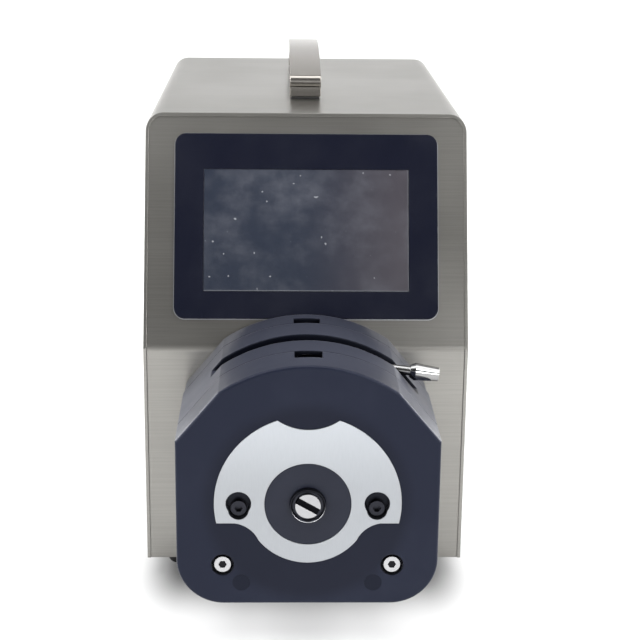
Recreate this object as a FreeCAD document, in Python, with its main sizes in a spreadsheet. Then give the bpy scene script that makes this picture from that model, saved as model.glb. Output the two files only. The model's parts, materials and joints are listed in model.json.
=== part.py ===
"""Bench-top peristaltic pump: sheet-metal drive with a touch screen and an easy-load pump head.

Frame: +Z up, +X to the right as seen from the front, the front faces -Y. The origin is the
centre of the overall bounding box on the table. Fore-and-aft positions are given as a distance
"ahead" of the drive's lower front face: positive towards the user, negative into the case.
"""
import FreeCAD, Part
import math
import os
import re

import Sketcher

DIMS = {
    # case
    "case_width": 148.0,
    "case_depth": 243.0,
    "case_height": 205.0,
    "foot_height": 9.0,
    "case_floor": 9.0,
    "case_roof": 214.0,
    "bend_height": 112.5,
    "tilt": 21.5,
    "bend_radius": 7.0,
    "case_corner": 8.0,
    "sheet": 1.5,
    "case_lip": 0.5,
    "face_ahead": 88.5,
    "wall_gap": 0.2,
    "foot_side": 57.5,
    "foot_front": -20.0,
    "foot_rear": -224.0,
    "vent_pitch": 8.0,
    "vent_start": 40.0,
    "vent_count": 10,
    # screen, measured up the sloping face from the bend
    "bezel_width": 120.5,
    "bezel_low": 13.5,
    "bezel_high": 99.0,
    "bezel_corner": 5.0,
    "bezel_thick": 1.6,
    "screen_width": 93.6,
    "screen_low": 26.3,
    "screen_high": 82.3,
    # carrying handle
    "handle_front": -10.5,
    "handle_rear": 133.5,
    "handle_width": 15.0,
    "handle_low": 6.2,
    "handle_high": 12.1,
    "handle_bow": 7.5,
    "spacer_height": 1.2,
    # pump head, measured from the rotor axis
    "axis_height": 68.3,
    "head_top": 60.5,
    "arch_radius": 66.0,
    "head_half": 55.2,
    "head_bottom": 45.8,
    "head_corner": 20.0,
    "facet_top": 37.2,
    "facet_low": 27.5,
    "rear_plate_front": 13.0,
    "front_plate_rear": 54.5,
    "head_front": 75.0,
    "window_half": 5.85,
    "window_floor": 43.0,
    "window_front": 63.0,
    "window_rear": 6.0,
    "lever_slot_rear": 30.6,
    "lever_slot_front": 39.4,
    "lever_pivot": 51.0,
    "lever_drop": 7.2,
    "lever_shaft_radius": 2.0,
    "hub_radius": 4.3,
    "cam_small": 2.6,
    "cam_large": 7.6,
    "cam_turn": 194.4,
    "cam_gap": 0.35,
    "lift_pin_radius": 2.0,
    "bed_gap": 0.3,
    "bed_low": 6.0,
    "frame_high": -2.0,
    "track_radius": 33.0,
    "chamber_radius": 32.0,
    "rotor_shaft": 5.3,
    "driver_slot": 2.8,
    "running_gap": 0.05,
    "carrier_radius": 27.0,
    "roller_pitch": 22.5,
    "roller_radius": 7.5,
    "roller_pin": 2.0,
    "roller_count": 4,
    "lower_screw_side": 35.8,
    "lower_screw_height": -27.8,
    "clamp_side": 29.0,
    "guide_side": 44.0,
    "guide_radius": 2.0,
    "plate_radius": 39.2,
    "disc_radius": 18.2,
    # drive
    "motor_half": 28.2,
    "motor_bolt": 23.57,
    "motor_shaft": 4.0,
    # rear panel fittings
    "fan_side": -28.0,
    "fan_height": 150.0,
    "fitting_side": 38.0,
    "inlet_height": 40.0,
    "switch_height": 80.0,
    "fuse_height": 112.0,
    "port_height": 40.0,
    "port_two_height": 70.0,
    "earth_height": 24.0,
    "earth_side": 62.0,
}

FRONT = FreeCAD.Vector(0, -1, 0)
NAMES = re.compile(r"\b(" + "|".join(sorted(DIMS, key=len, reverse=True)) + r")\b")

doc = FreeCAD.newDocument("PeristalticPump")
sheet = doc.addObject("Spreadsheet::Sheet", "Dims")
nodes = []
board_posts = []
rear_screws = []


def fill_sheet():
    for row, (name, value) in enumerate(DIMS.items(), 1):
        sheet.set("A%d" % row, name)
        sheet.set("B%d" % row, str(value))
        sheet.setAlias("B%d" % row, name)
    doc.recompute()


def tie(text):
    """The expression with each dimension's name pointing into the sheet."""
    return NAMES.sub(r"Dims.\1", str(text))


def num(text):
    value = sheet.evalExpression(str(text))
    return float(getattr(value, "Value", value))


def bind(item, prop, text):
    item.setExpression(prop, tie(text))


def place(item, x, y, z):
    for axis, text in zip("xyz", (x, y, z)):
        bind(item, "Placement.Base." + axis, text)
    return item


def turn(item, axis, degrees):
    """Rotate about an axis through the item's own base point."""
    spin = FreeCAD.Rotation(FreeCAD.Vector(*axis), num(degrees) or 0.0)
    item.Placement = FreeCAD.Placement(item.Placement.Base, spin)
    if num(degrees):
        bind(item, "Placement.Rotation.Angle", degrees)
    return item


def ahead(distance):
    """The Y of a point this far ahead of the lower front face."""
    return "-(face_ahead + (%s))" % distance


# ---------------------------------------------------------------- plain solids

def block(x0, x1, p0, p1, z0, z1, name="Block"):
    item = doc.addObject("Part::Box", name)
    bind(item, "Length", "(%s) - (%s)" % (x1, x0))
    bind(item, "Width", "(%s) - (%s)" % (p1, p0))
    bind(item, "Height", "(%s) - (%s)" % (z1, z0))
    return place(item, x0, ahead(p1), z0)


def rod(x, z, radius, p0, p1, name="Rod"):
    """A cylinder lying fore and aft."""
    item = doc.addObject("Part::Cylinder", name)
    bind(item, "Radius", radius)
    bind(item, "Height", "(%s) - (%s)" % (p1, p0))
    turn(item, (1, 0, 0), 90)
    return place(item, x, ahead(p0), z)


def post(x, p, radius, z0, z1, name="Post"):
    """An upright cylinder."""
    item = doc.addObject("Part::Cylinder", name)
    bind(item, "Radius", radius)
    bind(item, "Height", "(%s) - (%s)" % (z1, z0))
    return place(item, x, ahead(p), z0)


def cross_rod(x0, x1, p, z, radius, name="CrossRod"):
    """A cylinder lying side to side."""
    item = doc.addObject("Part::Cylinder", name)
    bind(item, "Radius", radius)
    bind(item, "Height", "(%s) - (%s)" % (x1, x0))
    turn(item, (0, 1, 0), 90)
    return place(item, x0, ahead(p), z)


def cone(x, z, radius0, radius1, p0, p1, name="Cone"):
    item = doc.addObject("Part::Cone", name)
    bind(item, "Radius1", radius0)
    bind(item, "Radius2", radius1)
    bind(item, "Height", "(%s) - (%s)" % (p1, p0))
    turn(item, (1, 0, 0), 90)
    return place(item, x, ahead(p0), z)


def hexagon(x, z, radius, p0, p1, name="Hexagon"):
    """A six-sided prism lying fore and aft."""
    item = doc.addObject("Part::Prism", name)
    item.Polygon = 6
    bind(item, "Circumradius", radius)
    bind(item, "Height", "(%s) - (%s)" % (p1, p0))
    turn(item, (1, 0, 0), 90)
    return place(item, x, ahead(p0), z)


def slope_y(up, inward):
    return "-face_ahead + (%s)*sin(tilt) + (%s)*cos(tilt)" % (up, inward)


def slope_z(up, inward):
    return "bend_height + (%s)*cos(tilt) - (%s)*sin(tilt)" % (up, inward)


def slope_block(x0, x1, up0, up1, in0, in1, name="SlopeBlock"):
    """A block square to the sloping face: up the slope from the bend, inward from the face."""
    item = doc.addObject("Part::Box", name)
    bind(item, "Length", "(%s) - (%s)" % (x1, x0))
    bind(item, "Width", "(%s) - (%s)" % (in1, in0))
    bind(item, "Height", "(%s) - (%s)" % (up1, up0))
    turn(item, (-1, 0, 0), "tilt")
    return place(item, x0, slope_y(up0, in0), slope_z(up0, in0))


def slope_rod(x, up, radius, in0, in1, name="SlopeRod"):
    """A cylinder square to the sloping face."""
    item = doc.addObject("Part::Cylinder", name)
    bind(item, "Radius", radius)
    bind(item, "Height", "(%s) - (%s)" % (in1, in0))
    turn(item, (-1, 0, 0), "90 + tilt")
    return place(item, x, slope_y(up, in0), slope_z(up, in0))


def fuse(parts, name="Joined"):
    if len(parts) == 1:
        return parts[0]
    item = doc.addObject("Part::MultiFuse", name)
    item.Shapes = parts
    item.Refine = True
    return item


def cut(base, tools, name="Trimmed"):
    item = doc.addObject("Part::Cut", name)
    item.Base = base
    item.Tool = fuse(tools, name + "Tools")
    item.Refine = True
    return item


def group(items, name="Set"):
    """Identical loose pieces kept as separate solids of one node."""
    item = doc.addObject("Part::Compound", name)
    item.Links = items
    return item


def node(item, label):
    item.Label = label
    nodes.append(item)
    return item


# ---------------------------------------------------------------- sketched solids

def body(name):
    return doc.addObject("PartDesign::Body", name)


def origin_plane(owner, role):
    return [plane for plane in owner.Origin.OriginFeatures if plane.Role == role][0]


def sketch(owner, role, offset, loops, name="Profile"):
    item = owner.newObject("Sketcher::SketchObject", name)
    item.AttachmentSupport = [(origin_plane(owner, role), "")]
    item.MapMode = "FlatFace"
    bind(item, "AttachmentOffset.Base.z", offset)
    for loop in loops:
        loop(item)
    return item


def hold(item, edge, end, x, y):
    """Tie one end of an edge to a point given by two expressions."""
    for kind, text in (("DistanceX", x), ("DistanceY", y)):
        index = item.addConstraint(Sketcher.Constraint(kind, -1, 1, edge, end, num(text)))
        bind(item, "Constraints[%d]" % index, text)


def circle(x, y, radius):
    def draw(item):
        centre = FreeCAD.Vector(num(x), num(y), 0)
        edge = item.addGeometry(Part.Circle(centre, FreeCAD.Vector(0, 0, 1), num(radius)), False)
        hold(item, edge, 3, x, y)
        index = item.addConstraint(Sketcher.Constraint("Radius", edge, num(radius)))
        bind(item, "Constraints[%d]" % index, radius)
    return draw


def arc_edge(item, start, end, radius, way):
    """The shorter arc between two points; way is 1 for anticlockwise, -1 for clockwise."""
    chord = end - start
    reach = math.sqrt(max(radius ** 2 - chord.Length ** 2 / 4, 0.0))
    side = FreeCAD.Vector(-chord.y, chord.x, 0).normalize() * (reach * way)
    centre = (start + end) * 0.5 + side
    angles = [math.atan2(p.y - centre.y, p.x - centre.x) for p in (start, end)]
    if way < 0:
        angles.reverse()
    round_edge = Part.Circle(centre, FreeCAD.Vector(0, 0, 1), radius)
    return item.addGeometry(Part.ArcOfCircle(round_edge, angles[0], angles[1]), False)


def outline(corners):
    """A closed loop. A corner is (x, y), or (x, y, radius, way) when an arc leaves it."""
    def draw(item):
        points = [FreeCAD.Vector(num(c[0]), num(c[1]), 0) for c in corners]
        ends = []
        for index, corner in enumerate(corners):
            start = points[index]
            end = points[(index + 1) % len(points)]
            if len(corner) == 2:
                ends.append((item.addGeometry(Part.LineSegment(start, end), False), 1, 2))
                continue
            edge = arc_edge(item, start, end, num(corner[2]), corner[3])
            ends.append((edge, 1, 2) if corner[3] > 0 else (edge, 2, 1))
        for index, (edge, first, last) in enumerate(ends):
            following = ends[(index + 1) % len(ends)]
            item.addConstraint(
                Sketcher.Constraint("Coincident", edge, last, following[0], following[1])
            )
        for (edge, first, last), corner in zip(ends, corners):
            hold(item, edge, first, corner[0], corner[1])
            if len(corner) > 2:
                index = item.addConstraint(Sketcher.Constraint("Radius", edge, num(corner[2])))
                bind(item, "Constraints[%d]" % index, corner[2])
    return draw


def rectangle(x0, x1, y0, y1, radius=None):
    if radius is None:
        return outline([(x0, y0), (x1, y0), (x1, y1), (x0, y1)])
    left, right = "(%s) + (%s)" % (x0, radius), "(%s) - (%s)" % (x1, radius)
    low, high = "(%s) + (%s)" % (y0, radius), "(%s) - (%s)" % (y1, radius)
    return outline([
        (left, y0), (right, y0, radius, 1), (x1, low), (x1, high, radius, 1),
        (right, y1), (left, y1, radius, 1), (x0, high), (x0, low, radius, 1),
    ])


def pad(owner, role, offset, length, loops):
    profile = sketch(owner, role, offset, loops)
    item = owner.newObject("PartDesign::Pad", "Pad")
    item.Profile = profile
    bind(item, "Length", length)
    doc.recompute()
    return item


def pocket(owner, role, offset, depth, loops):
    """Cut against the sketch plane's normal, and stop if nothing was removed."""
    before = owner.Shape.Volume
    profile = sketch(owner, role, offset, loops, "Opening")
    item = owner.newObject("PartDesign::Pocket", "Pocket")
    item.Profile = profile
    bind(item, "Length", depth)
    doc.recompute()
    if owner.Shape.Volume >= before:
        raise RuntimeError("a pocket in %s removes nothing" % owner.Label)
    return item


def row_of(owner, feature, axis, length, count):
    """Repeat a feature in a straight row along one of the body's axes."""
    item = owner.newObject("PartDesign::LinearPattern", "Row")
    item.Originals = [feature]
    item.Direction = (origin_plane(owner, axis), [""])
    bind(item, "Length", length)
    bind(item, "Occurrences", count)
    owner.Tip = item
    doc.recompute()
    return item


def plate(name, p0, p1, loops):
    """A flat piece with its outline seen from the front, between two distances ahead."""
    owner = body(name)
    pad(owner, "XZ_Plane", "face_ahead + (%s)" % p0, "(%s) - (%s)" % (p1, p0), loops)
    return owner


def sink(owner, p1, depth, loops):
    """Cut rearwards from a plane that faces the user."""
    return pocket(owner, "XZ_Plane", "face_ahead + (%s)" % p1, depth, loops)


def round_edges(owner, feature, wanted, radius):
    """Fillet the feature's edges for which wanted(edge) is true."""
    names = ["Edge%d" % i for i, edge in enumerate(feature.Shape.Edges, 1) if wanted(edge)]
    item = owner.newObject("PartDesign::Fillet", "Rounding")
    item.Base = (feature, names)
    bind(item, "Radius", radius)
    doc.recompute()
    return item


def in_plane(edge, distance):
    """Whether an edge lies in the plane this far ahead of the lower front face."""
    box = edge.BoundBox
    level = num(ahead(distance))
    return abs(box.YMin - level) < 0.001 and abs(box.YMax - level) < 0.001


# ---------------------------------------------------------------- fasteners

def socket_screw(x, z, head_radius, shank_radius, p_under, p_top, p_tip):
    """A hexagon-socket screw driven from the front; its head lies between two planes."""
    head = rod(x, z, head_radius, p_under, p_top)
    shank = rod(x, z, shank_radius, p_tip, "(%s) + 0.5" % p_under)
    recess = hexagon(x, z, "%s*0.5" % head_radius, "(%s) - 2.2" % p_top, "(%s) + 1" % p_top)
    return cut(fuse([head, shank]), [recess])


def rear_screw(x, z, head_radius, shank_radius, p_under, head_height, length):
    """A pan screw driven from behind, its head against a plane."""
    head = rod(x, z, head_radius, "(%s) - (%s)" % (p_under, head_height), p_under)
    shank = rod(x, z, shank_radius, "(%s) - 0.2" % p_under, "(%s) + (%s)" % (p_under, length))
    groove = block(
        "(%s) - %s" % (x, head_radius), "(%s) + %s" % (x, head_radius),
        "(%s) - (%s) - 1" % (p_under, head_height),
        "(%s) - (%s) + 0.7" % (p_under, head_height),
        "(%s) - 0.4" % z, "(%s) + 0.4" % z,
    )
    return cut(fuse([head, shank]), [groove])


# ---------------------------------------------------------------- case

HALF = "case_width/2"
INNER = "case_width/2 - sheet"
FITTED = "case_width/2 - sheet - wall_gap"
REAR_IN = "-(case_depth - sheet)"
CASE_SCREWS = ("-30", "-122", "-215")
HANDLE_SCREWS = ("-(handle_front + 12.5) - face_ahead", "-(handle_rear - 12.5) - face_ahead")


def case_side_loop():
    """The upside-down U of the wrap-around cover, seen from the front."""
    return outline([
        (HALF, "case_floor"), (HALF, "case_roof - case_corner", "case_corner", 1),
        (HALF + " - case_corner", "case_roof"),
        ("-%s + case_corner" % HALF, "case_roof", "case_corner", 1),
        ("-" + HALF, "case_roof - case_corner"), ("-" + HALF, "case_floor"),
        ("-%s + sheet" % HALF, "case_floor"),
        ("-%s + sheet" % HALF, "case_roof - case_corner", "case_corner - sheet", -1),
        ("-%s + case_corner" % HALF, "case_roof - sheet"),
        (HALF + " - case_corner", "case_roof - sheet", "case_corner - sheet", -1),
        (INNER, "case_roof - case_corner"), (INNER, "case_floor"),
    ])


def make_cover():
    shell = body("CoverShell")
    lip = "-(face_ahead + case_lip)"
    knee = "bend_height + case_lip*tan(tilt/2)"
    pad(shell, "XZ_Plane", "face_ahead - case_depth - case_lip", "case_depth + 2*case_lip",
        [case_side_loop()])
    pocket(shell, "YZ_Plane", "case_width/2 + 1", "case_width + 2", [outline([
        (lip, knee), (lip + " + 140*sin(tilt)", knee + " + 140*cos(tilt)"),
        (lip + " - 5", knee + " + 140*cos(tilt)"), (lip + " - 5", knee),
    ])])
    vents = pocket(shell, "YZ_Plane", "case_width/2 + 1", "case_width + 2", [
        rectangle("vent_start - 1.4", "vent_start + 1.4", "150", "184", "1.2"),
        rectangle("vent_start - 1.4", "vent_start + 1.4", "30", "58", "1.2"),
    ])
    row_of(shell, vents, "Y_Axis", "(vent_count - 1)*vent_pitch", "vent_count")
    holes = []
    for p in CASE_SCREWS:
        holes.append(cross_rod("-case_width/2 - 1", "case_width/2 + 1", p, "case_floor + 9", "1.6"))
    for p in HANDLE_SCREWS:
        holes.append(post("0", p, "2.15", "case_roof - 5", "case_roof + 5"))
    node(cut(shell, holes), "housing_cover")


def top_corner_loop(side):
    """What lies outside the cover's rounded inner corner, seen from the front."""
    wall = "%d*(%s)" % (side, INNER)
    beyond = "%d*(%s + 1)" % (side, INNER)
    start = "%d*(%s - case_corner)" % (side, HALF)
    return outline([
        (wall, "case_roof - case_corner", "case_corner - sheet", side),
        (start, "case_roof - sheet"), (start, "case_roof + 1"),
        (beyond, "case_roof + 1"), (beyond, "case_roof - case_corner"),
    ])


def make_front_panel():
    bent = body("FrontSheet")
    rise = "(case_roof - sheet - bend_height)"
    face = "-face_ahead"
    crease = "bend_height - sheet*tan(tilt/2)"
    outer = "bend_radius*tan(tilt/2)"
    inner = "(bend_radius - sheet)*tan(tilt/2)"
    pad(bent, "YZ_Plane", "-(%s)" % INNER, "2*(%s)" % INNER, [outline([
        (face, "case_floor"), (face + " + sheet", "case_floor"),
        (face + " + sheet", "bend_height - bend_radius*tan(tilt/2)", "bend_radius - sheet", -1),
        (face + " + sheet + %s*sin(tilt)" % inner, "%s + %s*cos(tilt)" % (crease, inner)),
        (face + " + %s*tan(tilt) + sheet/cos(tilt)" % rise, "case_roof - sheet"),
        (face + " + %s*tan(tilt)" % rise, "case_roof - sheet"),
        (face + " + %s*sin(tilt)" % outer, "bend_height + %s*cos(tilt)" % outer, "bend_radius", 1),
        (face, "bend_height - bend_radius*tan(tilt/2)"),
    ])])
    for side in (-1, 1):
        sink(bent, "1", "60", [top_corner_loop(side)])
    tools = [
        slope_block("-47", "47", "screen_low - 0.2", "screen_high + 0.2", "-1", "4"),
        rod("0", "axis_height", "9.2", "-5", "5"),
    ]
    for side in ("-", ""):
        tools.append(rod(side + "lower_screw_side", "axis_height + lower_screw_height", "2.2",
                         "-5", "5"))
    node(cut(bent, tools), "front_panel")


def make_base():
    floor = block("-(%s)" % FITTED, FITTED, "-(case_depth - sheet)", "-sheet", "case_floor",
                  "case_floor + 2")
    flanges = []
    for low, high in (("-(%s)" % FITTED, "-(%s) + 1.5" % FITTED), (FITTED + " - 1.5", FITTED)):
        flanges.append(block(low, high, "-(case_depth - sheet)", "-sheet", "case_floor",
                             "case_floor + 16"))
    holes = []
    for p in CASE_SCREWS:
        holes.append(cross_rod("-case_width/2", "case_width/2", p, "case_floor + 9", "1.5"))
    for x in ("-foot_side", "foot_side"):
        for p in ("foot_front", "foot_rear"):
            holes.append(post(x, p, "1.6", "case_floor - 1", "case_floor + 4"))
    for index in range(9):
        holes.append(block("-20", "20", "-%d" % (90 + 10 * index), "-%d + 4" % (90 + 10 * index),
                           "case_floor - 1", "case_floor + 4"))
    node(cut(fuse([floor] + flanges), holes), "base_plate")


def make_case_screws():
    screws = []
    for side in (-1, 1):
        near, far = ("case_width/2", "case_width/2 + 1.8")
        if side < 0:
            near, far = ("-case_width/2 - 1.8", "-case_width/2")
        for p in CASE_SCREWS:
            head = cross_rod(near, far, p, "case_floor + 9", "3")
            tip = ("case_width/2 - 7", "case_width/2 + 0.5")
            if side < 0:
                tip = ("-case_width/2 - 0.5", "-case_width/2 + 7")
            shank = cross_rod(tip[0], tip[1], p, "case_floor + 9", "1.45")
            groove = block(
                "%d*(case_width/2 + 1.6) - 0.5" % side, "%d*(case_width/2 + 1.6) + 0.5" % side,
                "(%s) - 3" % p, "(%s) + 3" % p, "case_floor + 8.6", "case_floor + 9.4",
            )
            screws.append(cut(fuse([head, shank]), [groove]))
    node(group(screws), "case_screws")


def make_feet():
    feet = []
    screws = []
    for x in ("-foot_side", "foot_side"):
        for p in ("foot_front", "foot_rear"):
            shape = doc.addObject("Part::Cone", "Foot")
            bind(shape, "Radius1", "7.8")
            bind(shape, "Radius2", "9.5")
            bind(shape, "Height", "foot_height")
            place(shape, x, ahead(p), "0")
            feet.append(cut(shape, [post(x, p, "4", "-1", "4.5"), post(x, p, "1.7", "0", "20")]))
            head = post(x, p, "2.8", "2.4", "4.5")
            shank = post(x, p, "1.5", "4", "case_floor + 5")
            screws.append(cut(fuse([head, shank]),
                              [block("(%s) - 3" % x, "(%s) + 3" % x, "(%s) - 0.4" % p,
                                     "(%s) + 0.4" % p, "2", "3.1")]))
    node(group(feet), "rubber_feet")
    node(group(screws), "foot_screws")


def make_handle():
    bar = body("HandleBar")
    roof = "case_roof"
    radius = "(handle_high - handle_low)/2"
    middle = roof + " + (handle_high + handle_low)/2"
    half = "((handle_rear - handle_front)/2 - 2.4)"
    top_round = "(%s^2 + handle_bow^2)/(2*handle_bow)" % half
    under = "((handle_rear - handle_front)/2 - 19)"
    under_round = "(%s^2 + handle_bow^2)/(2*handle_bow)" % under
    front_in, rear_in = "handle_front + 2.4", "handle_rear - 2.4"
    pad(bar, "YZ_Plane", "-handle_width/2", "handle_width", [outline([
        ("handle_front + 6", roof + " + spacer_height"), ("handle_front + 6", roof + " + handle_low"),
        (front_in, roof + " + handle_low", radius, -1), ("handle_front", middle, radius, -1),
        (front_in, roof + " + handle_high", top_round, -1),
        (rear_in, roof + " + handle_high", radius, -1), ("handle_rear", middle, radius, -1),
        (rear_in, roof + " + handle_low"), ("handle_rear - 6", roof + " + handle_low"),
        ("handle_rear - 6", roof + " + spacer_height"), ("handle_rear - 19", roof + " + spacer_height"),
        ("handle_rear - 19", roof + " + handle_low", under_round, 1),
        ("handle_front + 19", roof + " + handle_low"), ("handle_front + 19", roof + " + spacer_height"),
    ])])
    bores = [post("0", p, "2.05", "case_roof - 5", "case_roof + 8") for p in HANDLE_SCREWS]
    node(cut(bar, bores), "carry_handle")
    spacers = []
    screws = []
    for p in HANDLE_SCREWS:
        pad_block = block("-6.8", "6.8", "(%s) - 6" % p, "(%s) + 6" % p, roof, roof + " + spacer_height")
        spacers.append(cut(pad_block, [post("0", p, "2.15", "case_roof - 1", "case_roof + 3")]))
        head = post("0", p, "3.6", "case_roof - sheet - 2.6", "case_roof - sheet")
        screws.append(fuse([head, post("0", p, "2", "case_roof - sheet - 0.2", "case_roof + 7.6")]))
    node(group(spacers), "handle_spacers")
    node(group(screws), "handle_screws")


# ---------------------------------------------------------------- screen

def on_slope(owner):
    """Stand a body on the sloping face: its own XZ plane lies in that face."""
    turn(owner, (-1, 0, 0), "tilt")
    return place(owner, "0", "-face_ahead", "bend_height")


def make_screen():
    glass = body("BezelGlass")
    edge = "(bezel_low + bezel_high)/2 + "
    pad(glass, "XZ_Plane", "0", "bezel_thick", [
        rectangle("-bezel_width/2", "bezel_width/2", "bezel_low", "bezel_high", "bezel_corner"),
        rectangle("-screen_width/2 - 0.15", "screen_width/2 + 0.15", "screen_low - 0.15",
                  "screen_high + 0.15"),
    ])
    node(on_slope(glass), "screen_bezel")
    front = slope_block("-screen_width/2", "screen_width/2", "screen_low", "screen_high",
                        "-bezel_thick + 0.1", "2")
    rear = slope_block("-52.5", "52.5", "screen_low - 5.5", "screen_high + 5.5", "1.6", "5.2")
    node(fuse([front, rear]), "lcd_panel")
    board = slope_block("-58", "58", "10", "98", "10.2", "11.8")
    chips = [
        slope_block("-12", "6", "40", "58", "11.6", "13.4"),
        slope_block("20", "32", "38", "50", "11.6", "13"),
        slope_block("-44", "-28", "20", "30", "11.6", "20"),
        slope_block("30", "50", "72", "82", "11.6", "18"),
        slope_block("-50", "-20", "74", "79", "11.6", "16"),
    ]
    corners = [(x, up) for x in ("-54", "54") for up in ("14", "94")]
    holes = [slope_rod(x, up, "1.6", "8", "14") for x, up in corners]
    node(cut(fuse([board] + chips), holes), "screen_board")
    spacers = []
    for x, up in corners:
        spacer = slope_rod(x, up, "2.8", "1.6", "10.2")
        spacers.append(cut(spacer, [slope_rod(x, up, "1.25", "4", "12")]))
    board_posts.extend(spacers)
    screws = [fuse([slope_rod(x, up, "2.6", "11.8", "13.6"), slope_rod(x, up, "1.2", "5", "12")])
              for x, up in corners]
    node(group(screws), "screen_screws")


# ---------------------------------------------------------------- pump head

def high(text):
    """A height measured from the rotor axis."""
    return "axis_height + (%s)" % text


SHOULDER = high("head_top - arch_radius + sqrt(arch_radius^2 - facet_top^2)")


def head_loop():
    """The head's outline: arched top, sloping shoulders, upright sides, rounded bottom corners."""
    corner = high("head_corner - head_bottom")
    inset = "head_half - head_corner"
    return outline([
        ("-(%s)" % inset, high("-head_bottom")), (inset, high("-head_bottom"), "head_corner", 1),
        ("head_half", corner), ("head_half", high("facet_low")),
        ("facet_top", SHOULDER, "arch_radius", 1), ("0", high("head_top"), "arch_radius", 1),
        ("-facet_top", SHOULDER), ("-head_half", high("facet_low")),
        ("-head_half", corner, "head_corner", 1),
    ])


def window(owner, p1, depth):
    """The upright guide slot, open at the top, in which a guide block rises."""
    sink(owner, p1, depth, [rectangle("-window_half", "window_half", high("window_floor"),
                                      high("head_top + 3"))])


def lower_screw_loops(radius):
    return [circle(side + "lower_screw_side", high("lower_screw_height"), radius)
            for side in ("-", "")]


def lift_pin_loop(gap="0"):
    height = "lever_pivot - cam_small - cam_gap - lift_pin_radius"
    return circle("0", high(height), "lift_pin_radius + %s" % gap)


def guide_holes(z0, z1, gap):
    rods = []
    for x in ("-guide_side", "guide_side"):
        for p in ("19", "48.6"):
            rods.append(post(x, p, "guide_radius + %s" % gap, high(z0), high(z1)))
    return rods


def on_shoulder(edge):
    """True for the fore-and-aft edges where the sloping shoulders meet the upright sides."""
    level = num(high("facet_low"))
    return all(abs(v.Z - level) < 0.1 and abs(abs(v.X) - num("head_half")) < 0.1
               for v in edge.Vertexes)


def make_rear_plate():
    owner = plate("RearPlate", "0", "rear_plate_front", [head_loop()])
    round_edges(owner, owner.Tip, on_shoulder, "9")
    sink(owner, "rear_plate_front", "rear_plate_front - window_rear - 0", [
        rectangle("-window_half", "window_half", high("window_floor"), high("head_top + 3"))])
    sink(owner, "rear_plate_front", "rear_plate_front", lower_screw_loops("2.2"))
    sink(owner, "rear_plate_front", "6.5", [circle("0", "axis_height", "9.5")])
    sink(owner, "6.6", "6.6", [circle("0", "axis_height", "9")])
    sink(owner, "6.5", "5", [lift_pin_loop()])
    node(owner, "head_rear_plate")


def key_recess(owner, side):
    x = side + "clamp_side"
    sink(owner, "head_front", "4", [circle(x, high("0.2"), "5.35")])
    sink(owner, "head_front", "4", [circle(x, high("-2.7"), "4.3")])
    sink(owner, "head_front - 3.9", "12", [circle(x, high("-2.7"), "2.1")])


def make_front_plate():
    owner = plate("FrontPlate", "front_plate_rear", "head_front", [head_loop()])
    round_edges(owner, owner.Tip, lambda edge: in_plane(edge, "head_front"), "1.1")
    window(owner, "window_front", "window_front - front_plate_rear + 1")
    sink(owner, "head_front", "head_front - front_plate_rear", lower_screw_loops("2.2"))
    sink(owner, "head_front", "4.6", lower_screw_loops("4.8"))
    sink(owner, "head_front", "head_front - front_plate_rear", [circle("0", "axis_height", "7.4")])
    sink(owner, "head_front", "0.8", [circle("0", "axis_height", "disc_radius")])
    for side in ("-", ""):
        key_recess(owner, side)
        sink(owner, "head_front", "0.12", [circle(side + "27.9", high("-35.9"), "3.7")])
    sink(owner, "window_front + 6", "7", [lift_pin_loop()])
    node(owner, "head_front_plate")


def make_lower_frame():
    """The fixed lower block: tube ports at both flanks and the lower half of the roller chamber."""
    corner = high("head_corner - head_bottom")
    inset = "head_half - head_corner"
    level = high("frame_high")
    chord = "sqrt(chamber_radius^2 - frame_high^2)"
    owner = plate("LowerFrame", "rear_plate_front", "front_plate_rear", [outline([
        ("-(%s)" % inset, high("-head_bottom")), (inset, high("-head_bottom"), "head_corner", 1),
        ("head_half", corner), ("head_half", level), (chord, level, "chamber_radius", -1),
        ("0", high("-chamber_radius"), "chamber_radius", -1), ("-(%s)" % chord, level),
        ("-head_half", level), ("-head_half", corner, "head_corner", 1),
    ])])
    sink(owner, "front_plate_rear", "front_plate_rear - rear_plate_front", lower_screw_loops("2.2"))
    sink(owner, "41.5", "15", [
        rectangle("-49.5", "-42.5", high("-9"), high("frame_high + 1")),
        rectangle("42.5", "49.5", high("-9"), high("frame_high + 1")),
    ])
    node(cut(owner, guide_holes("-16", "0", "0")), "head_lower_frame")
    node(group(guide_holes("-16", "23", "0")), "guide_rods")


def make_tube_clamps():
    """Two notched jaws that grip the tube where it enters and leaves."""
    jaws = []
    for side in (-1, 1):
        owner = plate("Jaw", "26.7", "41.3", [rectangle(
            "%d*46 - 3.4" % side, "%d*46 + 3.4" % side, high("-9"), high("-1.2"))])
        notch = pocket(owner, "YZ_Plane", "%d*46 + 10" % side, "20", [outline([
            (ahead("34"), high("-4.2")), (ahead("37.6"), high("0")), (ahead("30.4"), high("0")),
        ])])
        jaws.append(owner)
    node(group(jaws), "tube_clamps")
    pins = []
    for side in ("-", ""):
        x = side + "clamp_side"
        knob = rod(x, high("-2.7"), "3.3", "head_front - 4", "head_front - 1.6")
        stem = rod(x, high("-2.7"), "2.08", "head_front - 15", "head_front - 3.9")
        pins.append(cut(fuse([knob, stem]), [
            hexagon(x, high("-2.7"), "1.75", "head_front - 3.6", "head_front")]))
    node(group(pins), "clamp_adjusters")


def slot_loop():
    """The lever's slot, open at the top; its floor falls further on the right-hand shoulder."""
    return outline([
        ("-60", high("41.6")), ("-hub_radius - 0.6", high("47.9")),
        ("-hub_radius - 0.6", high("lever_pivot - hub_radius - 0.6")),
        ("hub_radius + 0.6", high("lever_pivot - hub_radius - 0.6")),
        ("60", high("33")), ("60", high("70")), ("-60", high("70")),
    ])


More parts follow.
